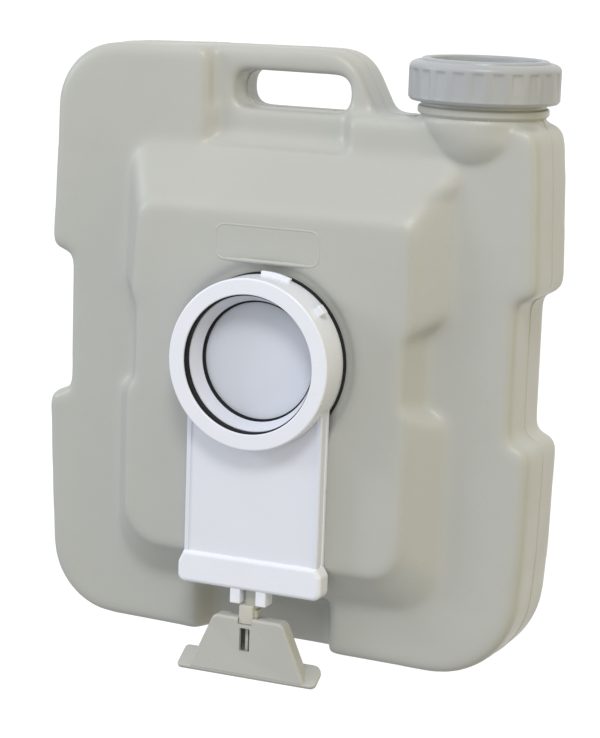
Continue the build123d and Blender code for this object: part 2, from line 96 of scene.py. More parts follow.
def edge_bevel(ob, width, seg=2, angle=40.0):
    m = ob.modifiers.new("v", "BEVEL")
    m.width, m.segments, m.limit_method = width, seg, "ANGLE"
    m.angle_limit = math.radians(angle)
    m.use_clamp_overlap = True
    m.loop_slide = True
    bpy.context.view_layer.update()
    return bake_mods(ob)


def even_shade(ob):
    """Normals weighted by face area, so that flat faces stay flat beside cuts and rounded edges."""
    m = ob.modifiers.new("w", "WEIGHTED_NORMAL")
    m.mode, m.weight, m.keep_sharp = "FACE_AREA", 50, True
    bpy.context.view_layer.update()
    return bake_mods(ob)


def joined(name, parts):
    """One object from several, their meshes side by side."""
    bm = bmesh.new()
    for p in parts:
        bm.from_mesh(p.data)
    me = bpy.data.meshes.new(name)
    bm.to_mesh(me)
    bm.free()
    for p in parts:
        old = p.data
        bpy.data.objects.remove(p)
        bpy.data.meshes.remove(old)
    ob = bpy.data.objects.new(name, me)
    bpy.context.scene.collection.objects.link(ob)
    return ob


def soft(points, radii, seg=5, closed=True):
    """The polygon or line with each corner rounded by an arc of its own radius."""
    n, out = len(points), []
    if not hasattr(radii, "__len__"):
        radii = [radii] * n
    for i, (p, r) in enumerate(zip(points, radii)):
        if r <= 0 or (not closed and i in (0, n - 1)):
            out.append(tuple(p))
            continue
        v = Vector(p)
        u, w = Vector(points[i - 1]) - v, Vector(points[(i + 1) % n]) - v
        lu, lw = u.length, w.length
        u.normalize()
        w.normalize()
        ang = math.acos(max(-1.0, min(1.0, u.dot(w))))
        if ang > PI - 0.02 or ang < 0.02:
            out.append(tuple(p))
            continue
        t = min(r / math.tan(ang / 2), 0.495 * lu, 0.495 * lw)
        rr = t * math.tan(ang / 2)
        c = v + (u + w).normalized() * (rr / math.sin(ang / 2))
        s, e = v + u * t, v + w * t
        a0 = math.atan2(s.y - c.y, s.x - c.x)
        d = math.atan2(e.y - c.y, e.x - c.x) - a0
        d = (d + PI) % (2 * PI) - PI
        k = max(1, math.ceil(abs(d) / (PI / 2) * seg - 0.05))
        out += [(c.x + rr * math.cos(a0 + d * j / k), c.y + rr * math.sin(a0 + d * j / k)) for j in range(k + 1)]
    return out


def lathe(name, prof, seg=192, axis="z", at=(0.0, 0.0), radius=None):
    """Closed profile of (radius, height) in mm turned about +Z, or about the spout axis with axis "y"."""
    verts, faces, m = [], [], len(prof)
    for i in range(seg):
        t = 2 * PI * i / seg
        c, s = math.cos(t), math.sin(t)
        for k, (r, h) in enumerate(prof):
            q = r if radius is None else radius(r, h, t, k)
            if axis == "z":
                verts.append(((at[0] + q * c) * MM, (at[1] + q * s) * MM, h * MM))
            else:
                verts.append((SX + q * c * MM, h * MM, SZ + q * s * MM))
    for i in range(seg):
        j = (i + 1) % seg
        for k in range(m):
            n = (k + 1) % m
            faces.append((i * m + k, j * m + k, j * m + n, i * m + n))
    return clean(make(name, verts, faces))


def shrunk(points, radii, d):
    """The anticlockwise outline moved in by d, with radii that keep the centres of its round corners."""
    n, out, rad = len(points), [], []
    for i in range(n):
        a, v, b = (Vector(points[j % n]) for j in (i - 1, i, i + 1))
        u, w = (v - a).normalized(), (b - v).normalized()
        m = Vector((-u.y - w.y, u.x + w.x)) * (d / max(1 + u.dot(w), 0.25))
        out.append((v.x + m.x, v.y + m.y))
        r = radii[i]
        rad.append(0 if r <= 0 else max(r - d, 0.03) if u.x * w.y - u.y * w.x > 0 else r + d)
    return out, rad


def prism(name, points, z0, z1, radii=0.0, top=0.0, low=0.0, seg=4, cseg=5, place=None):
    """Extruded outline in mm, its corners rounded by radii and its upper and lower edges by top and low."""
    if not hasattr(radii, "__len__"):
        radii = [radii] * len(points)
    rings = []
    for j in range(seg + 1 if low else 1):
        a = PI / 2 * j / seg
        rings.append((low * (1 - math.sin(a)), z0 + low * (1 - math.cos(a))))
    for j in range(seg + 1 if top else 1):
        a = PI / 2 * j / seg
        rings.append((top * (1 - math.cos(a)), z1 - top * (1 - math.sin(a))))
    verts, faces = [], []
    for d, z in rings:
        ring = soft(*shrunk(points, radii, d), cseg)
        n = len(ring)
        for x, y in ring:
            p = (x, y, z) if place is None else place(x, y, z)
            verts.append((p[0] * MM, p[1] * MM, p[2] * MM))
    for k in range(len(rings) - 1):
        for i in range(n):
            j = (i + 1) % n
            faces.append((k * n + i, k * n + j, (k + 1) * n + j, (k + 1) * n + i))
    faces.append(tuple(reversed(range(n))))
    faces.append(tuple(range((len(rings) - 1) * n, len(rings) * n)))
    return clean(make(name, verts, faces))


def rect(x0, y0, x1, y1):
    return [(x0, y0), (x1, y0), (x1, y1), (x0, y1)]


def arc(cx, cy, r, a0, a1, n):
    return [(cx + r * math.cos(math.radians(a0 + (a1 - a0) * i / n)), cy + r * math.sin(math.radians(a0 + (a1 - a0) * i / n))) for i in range(n + 1)]


def sector(name, r0, r1, a0, a1, z0, z1, top=0.5, seg=10, cr=0.6):
    pts = arc(0, 0, r1, a0, a1, seg) + arc(0, 0, r0, a1, a0, seg)
    rad = [cr] + [0] * (seg - 1) + [cr, 0.0] + [0] * (seg - 1) + [0.0]
    return prism(name, pts, z0, z1, rad, top=top, seg=3, cseg=3)


def sweep(name, path, section, closed=True, frames=None):
    """A section of (across, up) points carried along a path with a given across and up at each point."""
    verts, faces, m, n = [], [], len(section), len(path)
    for p, (a, u) in zip(path, frames):
        for s, t in section:
            verts.append(tuple(p[i] + a[i] * s + u[i] * t for i in range(3)))
    for i in range(n if closed else n - 1):
        j = (i + 1) % n
        for k in range(m):
            q = (k + 1) % m
            faces.append((i * m + k, i * m + q, j * m + q, j * m + k))
    if not closed:
        faces.append(tuple(range(m)))
        faces.append(tuple(range((n - 1) * m, n * m)))
    return clean(make(name, verts, faces))


# ------------------------------------------------------------------ materials
def nodes_of(mat):
    mat.use_nodes = True
    nt = mat.node_tree
    nt.nodes.clear()
    out = nt.nodes.new("ShaderNodeOutputMaterial")
    bsdf = nt.nodes.new("ShaderNodeBsdfPrincipled")
    nt.links.new(bsdf.outputs[0], out.inputs[0])
    return nt, bsdf


def noise(nt, coord, scale, detail=2.0, rough=0.5, seed=0.0, stretch=None):
    m = nt.nodes.new("ShaderNodeMapping")
    m.inputs["Location"].default_value = (seed * 0.37, seed * 0.71, seed * 0.13)
    if stretch:
        m.inputs["Scale"].default_value = stretch
    nt.links.new(coord, m.inputs["Vector"])
    n = nt.nodes.new("ShaderNodeTexNoise")
    n.inputs["Scale"].default_value = scale
    n.inputs["Detail"].default_value = detail
    n.inputs["Roughness"].default_value = rough
    nt.links.new(m.outputs[0], n.inputs["Vector"])
    return n.outputs["Fac"]


def span(nt, fac, a, b, lo, hi):
    n = nt.nodes.new("ShaderNodeMapRange")
    n.inputs["From Min"].default_value, n.inputs["From Max"].default_value = a, b
    n.inputs["To Min"].default_value, n.inputs["To Max"].default_value = lo, hi
    nt.links.new(fac, n.inputs["Value"])
    return n.outputs[0]


def blend(nt, fac, a, b):
    n = nt.nodes.new("ShaderNodeMix")
    n.data_type = "RGBA"
    nt.links.new(fac, n.inputs[0])
    for i, c in ((6, a), (7, b)):
        if isinstance(c, (tuple, list)):
            n.inputs[i].default_value = (*c, 1.0)
        else:
            nt.links.new(c, n.inputs[i])
    return n.outputs[2]


def plastic(name, base, dark, light, rough=(0.36, 0.48), grain=900.0, grain_d=0.05, wave=60.0, wave_d=0.25,
            edge=0.5, speck=0.0, sss=0.0, spec=0.5, coat=0.0, seed=1.0, blotch=9.0, stretch=None):
    mat = bpy.data.materials.new(name)
    nt, bsdf = nodes_of(mat)
    co = nt.nodes.new("ShaderNodeTexCoord").outputs["Object"]
    big = span(nt, noise(nt, co, blotch, 3.0, 0.55, seed, stretch), 0.32, 0.68, 0.0, 1.0)
    col = blend(nt, big, dark, base)
    if edge > 0:
        geo = nt.nodes.new("ShaderNodeNewGeometry")
        # sharp outward edges lightened: wear plus painted highlight on the rounded edges
        wear_and_edge_highlight = span(nt, geo.outputs["Pointiness"], 0.52, 0.60, 0.0, edge)
        col = blend(nt, wear_and_edge_highlight, col, light)
        # hollows and creases darkened: painted shade
        crease_shade = span(nt, geo.outputs["Pointiness"], 0.48, 0.42, 0.0, 0.35 * edge)
        col = blend(nt, crease_shade, col, tuple(0.72 * c for c in dark))
    if speck > 0:
        sp = span(nt, noise(nt, co, 700.0, 1.0, 0.4, seed + 5), 0.70, 0.78, 0.0, speck)
        col = blend(nt, sp, col, tuple(0.6 * c for c in dark))
    nt.links.new(col, bsdf.inputs["Base Color"])
    r = span(nt, noise(nt, co, 22.0, 4.0, 0.6, seed + 2), 0.3, 0.7, rough[0], rough[1])
    nt.links.new(r, bsdf.inputs["Roughness"])
    fine = noise(nt, co, grain, 2.0, 0.5, seed + 3)
    b1 = nt.nodes.new("ShaderNodeBump")
    b1.inputs["Strength"].default_value = 1.0
    b1.inputs["Distance"].default_value = grain_d * MM
    nt.links.new(fine, b1.inputs["Height"])
    wv = noise(nt, co, wave, 1.0, 0.5, seed + 4)
    b2 = nt.nodes.new("ShaderNodeBump")
    b2.inputs["Strength"].default_value = 1.0
    b2.inputs["Distance"].default_value = wave_d * MM
    nt.links.new(wv, b2.inputs["Height"])
    nt.links.new(b1.outputs[0], b2.inputs["Normal"])
    nt.links.new(b2.outputs[0], bsdf.inputs["Normal"])
    bsdf.inputs["Specular IOR Level"].default_value = spec
    bsdf.inputs["IOR"].default_value = 1.5
    if sss > 0:
        bsdf.inputs["Subsurface Weight"].default_value = sss
        bsdf.inputs["Subsurface Radius"].default_value = (1.0, 0.8, 0.6)
        bsdf.inputs["Subsurface Scale"].default_value = 0.002
    if coat > 0:
        bsdf.inputs["Coat Weight"].default_value = coat
        bsdf.inputs["Coat Roughness"].default_value = 0.12
    return mat


GREY = plastic("tank_hdpe", (0.482, 0.494, 0.474), (0.458, 0.470, 0.451), (0.56, 0.565, 0.545), rough=(0.36, 0.46),
               grain=750.0, grain_d=0.045, wave=42.0, wave_d=0.35, edge=0.35, speck=0.25, seed=1.0, blotch=7.0)
WHITE = plastic("valve_white_abs", (0.83, 0.87, 0.965), (0.805, 0.845, 0.945), (0.90, 0.92, 0.975), rough=(0.22, 0.34),
                grain=1400.0, grain_d=0.008, wave=70.0, wave_d=0.05, edge=0.4, seed=2.0, blotch=16.0, coat=0.15)
# the valve's white plastic made darker as painted shade, with its own rougher, less shiny finish
PLATE_PAINTED_SHADE = plastic("valve_plate_abs_painted_shade", (0.735, 0.775, 0.885), (0.705, 0.745, 0.86), (0.82, 0.845, 0.92), rough=(0.36, 0.50),
                grain=1400.0, grain_d=0.012, wave=70.0, wave_d=0.05, edge=0.4, seed=8.0, blotch=16.0, spec=0.3)
BLADE = plastic("blade_blue_grey_pom", (0.725, 0.765, 0.875), (0.695, 0.735, 0.845), (0.79, 0.825, 0.91), rough=(0.30, 0.44),
                grain=1600.0, grain_d=0.008, wave=60.0, wave_d=0.05, edge=0.2, seed=3.0, blotch=18.0, stretch=(1, 0.25, 1))
BLACK = plastic("seal_rubber", (0.011, 0.013, 0.017), (0.008, 0.009, 0.012), (0.03, 0.032, 0.038), rough=(0.55, 0.75),
                grain=1500.0, grain_d=0.02, wave=160.0, wave_d=0.05, edge=0.3, seed=4.0, blotch=60.0, spec=0.22)
CAP = plastic("cap_milky_pp", (0.405, 0.426, 0.448), (0.375, 0.394, 0.424), (0.465, 0.482, 0.508), rough=(0.36, 0.50),
              grain=1100.0, grain_d=0.02, wave=80.0, wave_d=0.08, edge=0.6, seed=5.0, blotch=24.0, coat=0.05)
STEM = plastic("stem_beige_pom", (0.57, 0.57, 0.52), (0.54, 0.54, 0.49), (0.68, 0.67, 0.61), rough=(0.36, 0.5),
               grain=1500.0, grain_d=0.02, wave=90.0, wave_d=0.05, edge=0.3, seed=6.0, blotch=40.0)
STEEL = plastic("zinc_steel", (0.60, 0.60, 0.62), (0.50, 0.50, 0.52), (0.75, 0.75, 0.76), rough=(0.25, 0.42),
                grain=2500.0, grain_d=0.01, wave=300.0, wave_d=0.02, edge=0.3, seed=7.0, blotch=120.0)
STEEL.node_tree.nodes["Principled BSDF"].inputs["Metallic"].default_value = 1.0


def finish_piece(ob, mat, slot, body, *nodes):
    ob.data.materials.clear()
    ob.data.materials.append(mat)
    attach(ob, body)
    if nodes:
        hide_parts(*nodes)
    return ob


def keep(node, mat):
    o = NODES[node]
    o.data.materials.clear()
    o.data.materials.append(mat)
    return o


# ------------------------------------------------------------- blow moulded tank
def smooth_step(a, b, x):
    t = np.clip((x - a) / (b - a), 0.0, 1.0)
    return t * t * (3 - 2 * t)


def tank_shell():
    me = NODES["tank_body"].data.copy()
    ob = bpy.data.objects.new("tank_shell", me)
    bpy.context.scene.collection.objects.link(ob)
    me.materials.clear()
    clean(ob)
    m = ob.modifiers.new("r", "REMESH")
    m.mode, m.voxel_size, m.adaptivity = "VOXEL", 0.0016, 0.0
    bake_mods(ob)
    me = ob.data
    n, ne = len(me.vertices), len(me.edges)
    co = np.empty(n * 3)
    me.vertices.foreach_get("co", co)
    co = co.reshape(-1, 3)
    ed = np.empty(ne * 2, np.int64)
    me.edges.foreach_get("vertices", ed)
    ed = ed.reshape(-1, 2)
    a, b = np.r_[ed[:, 0], ed[:, 1]], np.r_[ed[:, 1], ed[:, 0]]
    deg = np.maximum(np.bincount(a, minlength=n), 1).astype(float)
    x, y, z = co.T / MM
    rs = np.hypot(x - 128.6, z - 52.0)
    rv = np.hypot(x, y)
    w = np.ones(n)
    # the spout and its rounded root stay crisp, as do the floor of the valve seat and its hole
    w = np.minimum(w, 1 - 0.86 * (1 - smooth_step(44.5, 49.0, rs)) * smooth_step(116.0, 124.0, y))
    w = np.minimum(w, 1 - 0.75 * (1 - smooth_step(64.0, 67.0, rv)) * smooth_step(88.0, 92.0, z))
    # the shell is smoothed in 30 weighted rounds
    rounds = 30
    for _ in range(rounds):
        avg = np.stack([np.bincount(a, co[b, i], n) for i in range(3)], 1) / deg[:, None]
        co += (0.5 * w)[:, None] * (avg - co)
    # the neck of the shell draws in, so that the moulded neck covers it inside and out
    x, y, z = co.T / MM
    dx, dz = x - 128.6, z - 52.0
    rs = np.hypot(dx, dz)
    u = smooth_step(166.3, 168.6, y) * (rs < 47.0)
    target = 39.3 + (rs - 39.3) * 0.42
    k = np.where(rs > 1, (rs + u * (target - rs)) / np.maximum(rs, 1), 1.0)
    co[:, 0] = (128.6 + dx * k) * MM
    co[:, 2] = (52.0 + dz * k) * MM
    tall = (y > 188.0) & (rs < 47.0)
    co[tall, 1] = (188.0 + (y[tall] - 188.0) * 0.4) * MM
    # the spout's root leans a little to the outer side where it runs into the slab
    lean = smooth_step(72.0, 92.0, x) * (1 - smooth_step(150.0, 173.0, x)) * smooth_step(64.0, 77.0, z)
    co[:, 0] += 4.0 * MM * lean * smooth_step(112.0, 126.0, y) * (1 - smooth_step(150.0, 165.0, y))
    me.vertices.foreach_set("co", co.astype(np.float32).ravel())
    me.update()
    d = ob.modifiers.new("d", "DECIMATE")
    faces = sum(len(p.vertices) - 2 for p in me.polygons)
    d.ratio = min(1.0, 150000 / max(faces, 1))
    bake_mods(ob)
    for p in ob.data.polygons:
        p.use_smooth = True
    return ob


def outline_at(ob, z):
    """The closed outlines of a mesh at a height, as arrays of points in metres, longest first."""
    bm = bmesh.new()
    bm.from_mesh(ob.data)
    cut = bmesh.ops.bisect_plane(bm, geom=bm.verts[:] + bm.edges[:] + bm.faces[:], plane_co=(0, 0, z), plane_no=(0, 0, 1), dist=1e-7)
    on = {v for v in cut["geom_cut"] if isinstance(v, bmesh.types.BMVert)}
    near = {v: [] for v in on}
    for e in cut["geom_cut"]:
        if isinstance(e, bmesh.types.BMEdge) and e.verts[0] in on and e.verts[1] in on:
            near[e.verts[0]].append(e.verts[1])
            near[e.verts[1]].append(e.verts[0])
    loops, seen = [], set()
    for v in on:
        if v in seen or len(near[v]) != 2:
            continue
        loop, prev, here = [v], None, v
        seen.add(v)
        while True:
            nxt = [q for q in near[here] if q is not prev and q not in seen]
            if not nxt:
                break
            prev, here = here, nxt[0]
            seen.add(here)
            loop.append(here)
        loops.append(np.array([(q.co.x, q.co.y) for q in loop]))
    bm.free()
    loops.sort(key=len, reverse=True)
    return loops


def even(loop, step):
    """The closed loop resampled at even steps and lightly smoothed."""
    p = np.vstack([loop, loop[:1]])
    s = np.r_[0, np.cumsum(np.hypot(*np.diff(p, axis=0).T))]
    n = max(24, int(s[-1] / step))
    t = np.linspace(0, s[-1], n, endpoint=False)
    q = np.stack([np.interp(t, s, p[:, i]) for i in (0, 1)], 1)
    for _ in range(3):
        q = 0.5 * q + 0.25 * (np.roll(q, 1, 0) + np.roll(q, -1, 0))
    return q


def seam(ob):
    """The thin flash line left by the two mould halves, all round at the parting height."""
    made = []
    loops = [l for l in outline_at(ob, SZ) if len(l) > 40]
    keepers = []
    for l in loops:
        lo, hi = l.min(0), l.max(0)
        size = hi - lo
        if size[0] > 0.34:
            keepers.append((l, "outer"))
        elif 0.06 < size[0] < 0.12 and lo[1] > 0.15:
            keepers.append((l, "hole"))
    # the outermost of the large loops is the outside wall, the next one the inside
    outer = sorted([l for l, k in keepers if k == "outer"], key=lambda l: -(l.max(0) - l.min(0)).sum())[:1]
    hole = sorted([l for l, k in keepers if k == "hole"], key=lambda l: (l.max(0) - l.min(0)).sum())[:1]
    for i, l in enumerate(outer + hole):
        q = even(l, 0.0022)
        area = 0.5 * np.sum(q[:, 0] * np.roll(q[:, 1], -1) - np.roll(q[:, 0], -1) * q[:, 1])
        t = np.roll(q, -1, 0) - np.roll(q, 1, 0)
        t /= np.maximum(np.hypot(*t.T), 1e-9)[:, None]
        sign = 1.0 if area > 0 else -1.0
        nrm = np.stack([t[:, 1], -t[:, 0]], 1) * sign * (1 if i == 0 else -1)
        sec = [(-0.9, -1.0), (0.05, -0.62), (0.34, -0.25), (0.40, 0.0), (0.34, 0.25), (0.05, 0.62), (-0.9, 1.0)]
        sec = [(s * MM, u * MM) for s, u in sec]
        path = [(p[0], p[1], SZ) for p in q]
        made.append(sweep("seam", path, sec, True, [((v[0], v[1], 0), (0, 0, 1)) for v in nrm]))
    return joined("mould_seam", made) if made else None


shell = tank_shell()
finish_piece(shell, GREY, "tank_grey", "root", "tank_body")
line = seam(shell)
if line:
    finish_piece(clean(line, 60), GREY, "tank_grey", "root")


def plate_outline():
    """A low raised line around the blank name plate on the panel."""
    pts = soft([(-38.0, 65.55), (38.0, 65.55), (38.0, 89.05), (-38.0, 89.05)], 6.0, 8)
    q = even(np.array(pts) * MM, 0.0012)
    t = np.roll(q, -1, 0) - np.roll(q, 1, 0)
    t /= np.hypot(*t.T)[:, None]
    sec = [(-1.5, -0.6), (-0.95, 0.0), (-0.5, 0.42), (0.0, 0.55), (0.5, 0.42), (0.95, 0.0), (1.5, -0.6)]
    sec = [(s * MM, u * MM) for s, u in sec]
    return sweep("name_plate_line", [(p[0], p[1], 0.10595) for p in q], sec, True, [((a[1], -a[0], 0), (0, 0, 1)) for a in t])


finish_piece(clean(plate_outline(), 60), GREY, "tank_grey", "root")


def spout_neck():
    prof = soft([(41.2, 168.6), (43.4, 170.4), (43.4, 174.4), (41.5, 175.2), (41.5, 193.0), (37.0, 193.0), (37.0, 166.0), (38.6, 164.6)],
                [0.4, 1.6, 1.6, 0.9, 1.1, 1.1, 1.0, 0.5], 6)
    ob = lathe("neck", prof, 224, "y")
    # the cap's thread, two turns that run out at each end
    n, path, frames, secs = 300, [], [], []
    for i in range(n + 1):
        t = 2 * PI * 1.9 * i / n
        y = 178.2 + 6.0 * 1.9 * i / n
        c, s = math.cos(t), math.sin(t)
        path.append((SX + 41.2 * MM * c, y * MM, SZ + 41.2 * MM * s))
        frames.append(((c, 0, s), (0, 1, 0)))
    verts, faces = [], []
    for i, (p, (a, u)) in enumerate(zip(path, frames)):
        h = min(1.0, i / 24.0, (n - i) / 24.0)
        for s, v in ((-0.4, -1.5), (0.4, -1.3), (0.3 + 1.5 * h, -0.5), (0.3 + 1.5 * h, 0.5), (0.4, 1.3), (-0.4, 1.5)):
            verts.append(tuple(p[k] + a[k] * s * MM + u[k] * v * MM for k in range(3)))
    for i in range(n):
        for k in range(6):
            q = (k + 1) % 6
            faces.append((i * 6 + k, i * 6 + q, (i + 1) * 6 + q, (i + 1) * 6 + k))
    faces.append(tuple(range(6)))
    faces.append(tuple(range(n * 6, n * 6 + 6)))
    return joined("spout_neck", [ob, clean(make("thread", verts, faces))])


finish_piece(spout_neck(), GREY, "tank_grey", "root")


# ------------------------------------------------------------------ slide valve
def valve_plate():
    side = [(50.0, -139.0)] + arc(0, 0, 52.7, -18.41, 198.41, 72) + [(-49.6, -139.0)]
    ob = prism("valve_plate", side, 108.7, 118.0, top=1.5, seg=4)
    # the side walls step in below the lip
    for x in (-1, 1):
        boolean(ob, prism("step", rect(min(x * 49.25, x * 60), -150.0, max(x * 49.25, x * 60), -20.0), 100.0, 112.9))
    # the plate is sunk a little between two side rails
    boolean(ob, prism("cut", [(-46.2, -143.0), (46.2, -143.0), (46.2, 10.0), (-46.2, 10.0)], 117.3, 121.0))
    boolean(ob, prism("throat", arc(0, 0, 46.6, 0, 360 * 119 / 120, 119), 100.0, 130.0))
    chan = [(45.6, -150.0), (45.6, -3.0)] + arc(0, 0, 45.6, 0, 180, 80) + [(-45.6, -3.0), (-45.6, -150.0)]
    boolean(ob, prism("chan", chan, 100.0, 111.8))
    boolean(ob, prism("slot", rect(-5.2, -150.0, 5.2, -42.0), 100.0, 112.8))
    clean(ob, 30)
    edge_bevel(ob, 0.0003, 2, 42)
    clean(ob, 36)
    # the tower around the throat, with its funnel and the groove of the upper seal
    prof = soft([(44.6, 111.9), (51.2, 111.9), (51.4, 112.6), (51.4, 124.0), (45.6, 124.0), (40.9, 114.8), (44.6, 114.6)],
                [0, 0, 0, 0.5, 0.8, 0.25, 0], 4)
    return joined("valve_plate", [even_shade(ob), lathe("tower", prof, 200)])


finish_piece(valve_plate(), PLATE_PAINTED_SHADE, "valve_white", "root", "valve_top_plate")


def end_cap():
    side = [(-53.4, -158.0), (53.6, -158.0), (53.6, -141.6), (49.9, -135.6), (-49.5, -135.6), (-53.4, -144.2)]
    ob = prism("end_cap", side, 106.3, 120.0, [5.5, 6.0, 4.0, 2.0, 2.0, 4.0], top=3.2, low=0.5, seg=7, cseg=7)
    for x in (-9.6, 9.6):
        lug = prism("lug", rect(x - 3.8, -168.0, x + 3.8, -155.5), 107.0, 118.6, 0.9, top=0.8, low=0.3, seg=3, cseg=3)
        boolean(ob, lug, "UNION")
    boolean(ob, prism("cut", rect(-50.1, -156.15, 50.1, -136.0), 100.0, 108.75))
    boolean(ob, prism("cut", rect(-45.6, -147.9, 45.6, -130.0), 100.0, 111.8))
    boolean(ob, prism("cut", rect(-5.2, -172.0, 5.2, -130.0), 100.0, 112.8))
    boolean(ob, prism("cut", rect(-8.2, -153.3, 8.2, -149.7), 100.0, 114.4))
    return even_shade(clean(ob, 34))


finish_piece(end_cap(), WHITE, "valve_white", "root", "housing_end_cap")


def collar():
    prof = soft([(53.0, 108.8), (58.0, 108.8), (58.0, 132.0), (47.0, 132.0), (47.0, 130.4), (50.2, 130.4), (50.2, 124.1), (53.0, 124.1)],
                [0.3, 0.4, 1.3, 0.9, 0.25, 0.3, 0.3, 0.3], 6)
    ob = lathe("collar", prof, 240)
    boolean(ob, prism("mouth", rect(-50.15, -80.0, 50.15, 0.0), 100.0, 118.15))
    lug = sector("lug", 55.5, 62.3, 37.3, 43.7, 114.0, 120.2, top=0.9, seg=5, cr=0.9)
    boolean(ob, lug, "UNION")
    tab = sector("tab", 55.5, 60.6, 70.2, 91.2, 108.8, 111.6, top=0.6, seg=18, cr=1.4)
    boolean(ob, tab, "UNION")
    clean(ob, 34)
    return even_shade(clean(edge_bevel(ob, 0.0003, 2, 46), 34))


finish_piece(collar(), WHITE, "valve_white", "root", "socket_ring")

lip = soft([(50.1, 124.1), (50.1, 130.3), (46.9, 130.3), (45.9, 129.0), (46.3, 126.6), (46.2, 124.1)], [0.2, 0.4, 0.7, 0.7, 0.5, 0.4], 4)
finish_piece(lathe("lip_seal", lip, 200), BLACK, "seal_black", "root", "socket_lip_seal")
up = soft([(44.4, 111.7), (44.4, 114.5), (40.8, 114.5), (39.6, 113.2), (39.6, 112.2), (40.4, 111.7)], [0.2, 0.3, 0.5, 0.6, 0.4, 0.2], 4)
finish_piece(lathe("upper_seal", up, 200), BLACK, "seal_black", "root", "gate_upper_seal")
keep("gate_lower_seal", BLACK)
keep("valve_base_gasket", BLACK)
keep("stem_wiper_seal", BLACK)
keep("valve_base", WHITE)
keep("housing_screws", STEEL)
keep("handle_clip_pin", STEEL)


# ------------------------------------------------------------------------- gate
def blade():
    side = [(45.0, -56.0), (45.0, -3.0)] + arc(0, 0, 45.0, 0, 180, 90) + [(-45.0, -3.0), (-45.0, -56.0)]
    ob = prism("blade", side, 109.0, 111.4, [2.0] + [0] * (len(side) - 2) + [2.0], top=0.35, low=0.35, seg=3)
    boolean(ob, prism("cut", rect(-4.6, -60.0, 4.6, -46.0), 105.0, 115.0))
    boolean(ob, prism("cut", rect(-9.1, -50.1, 9.1, -45.9), 105.0, 115.0))
    return clean(ob, 34)


finish_piece(blade(), BLADE, "blade_blue_grey", "gate", "gate_blade")


def stem():
    ob = prism("stem", rect(-4.5, -171.5, 4.5, -56.5), 108.3, 112.3, 0.4, top=0.5, low=0.5, seg=3, cseg=2)
    for part in (prism("p", rect(-9.0, -50.0, 9.0, -46.0), 109.02, 111.38, 0.4, top=0.3, low=0.3, seg=2, cseg=2),
                 prism("p", rect(-4.4, -58.0, 4.4, -48.5), 109.05, 111.35, 0.3, top=0.3, low=0.3, seg=2, cseg=2),
                 prism("p", rect(-6.3, -186.2, 5.2, -172.5), 106.0, 113.6, 1.2, top=0.6, low=0.9, seg=4, cseg=4),
                 prism("p", rect(-7.0, -182.4, 3.4, -169.05), 109.6, 116.8, 0.8, top=0.9, low=0.6, seg=4, cseg=4),
                 prism("p", rect(-2.9, -203.4, -0.7, -183.0), 106.8, 114.0, 0.5, top=0.4, low=0.4, seg=3, cseg=3)):
        boolean(ob, part, "UNION")
    return clean(ob, 34)


finish_piece(stem(), STEM, "stem_beige", "gate", "gate_stem")


def pull():
    side = [(-25.8, -177.8), (-44.2, -219.0), (44.2, -219.0), (25.8, -177.8)]
    ob = prism("pull", side, 107.6, 118.0, [5.5, 0.5, 0.5, 5.0], top=2.1, seg=6, cseg=7)
    # its lower end is cut off at a slant, inside the foot
    end = [(-209.6, 101.0), (-218.2, 113.9), (-218.9, 116.0), (-218.4, 117.4), (-217.4, 124.0), (-170.0, 124.0), (-170.0, 101.0)]
    boolean(ob, prism("end", end[::-1], -60.0, 60.0, place=lambda y, z, x: (x, y, z)), "INTERSECT")
    # slanting foot that runs out past both sides
    foot = prism("foot", rect(-53.0, 0.2, 51.3, 19.3), -3.3, 0.0, [3.0, 7.5, 4.0, 3.0], top=1.0, low=1.0, seg=5, cseg=7,
                 place=lambda x, u, t: (x, -207.1 - 0.570 * u + 0.823 * t, 102.3 + 0.823 * u + 0.570 * t))
    boolean(ob, foot, "UNION")
    inner = [(-22.8, -180.4), (-36.5, -211.0), (36.5, -211.0), (22.8, -180.4)]
    boolean(ob, prism("cut", inner, 96.0, 115.2, [3.0, 2.0, 2.0, 3.0], top=1.0, seg=3, cseg=4))
    # pocket for the end of the stem, closed at the rear
    boolean(ob, prism("pocket", rect(-11.1, -205.8, 11.1, -179.6), 103.4, 116.2, 1.0, top=0.2, low=0.6, seg=2, cseg=3), "UNION")
    boolean(ob, prism("cut", rect(-9.3, -204.0, 9.3, -180.4), 105.2, 115.2))
    boolean(ob, prism("cut", rect(-6.6, -182.0, 6.6, -174.0), 105.2, 115.6))
    boolean(ob, prism("cut", rect(-7.1, -182.5, 3.5, -172.0), 109.5, 122.0, 0.8, cseg=3))
    boolean(ob, prism("cut", rect(-5.4, -201.2, 2.2, -184.7), 110.0, 122.0, 0.9, cseg=3))
    clean(ob, 34)
    return even_shade(clean(edge_bevel(ob, 0.0003, 2, 50), 34))


finish_piece(pull(), GREY, "tank_grey", "gate", "pull_handle")


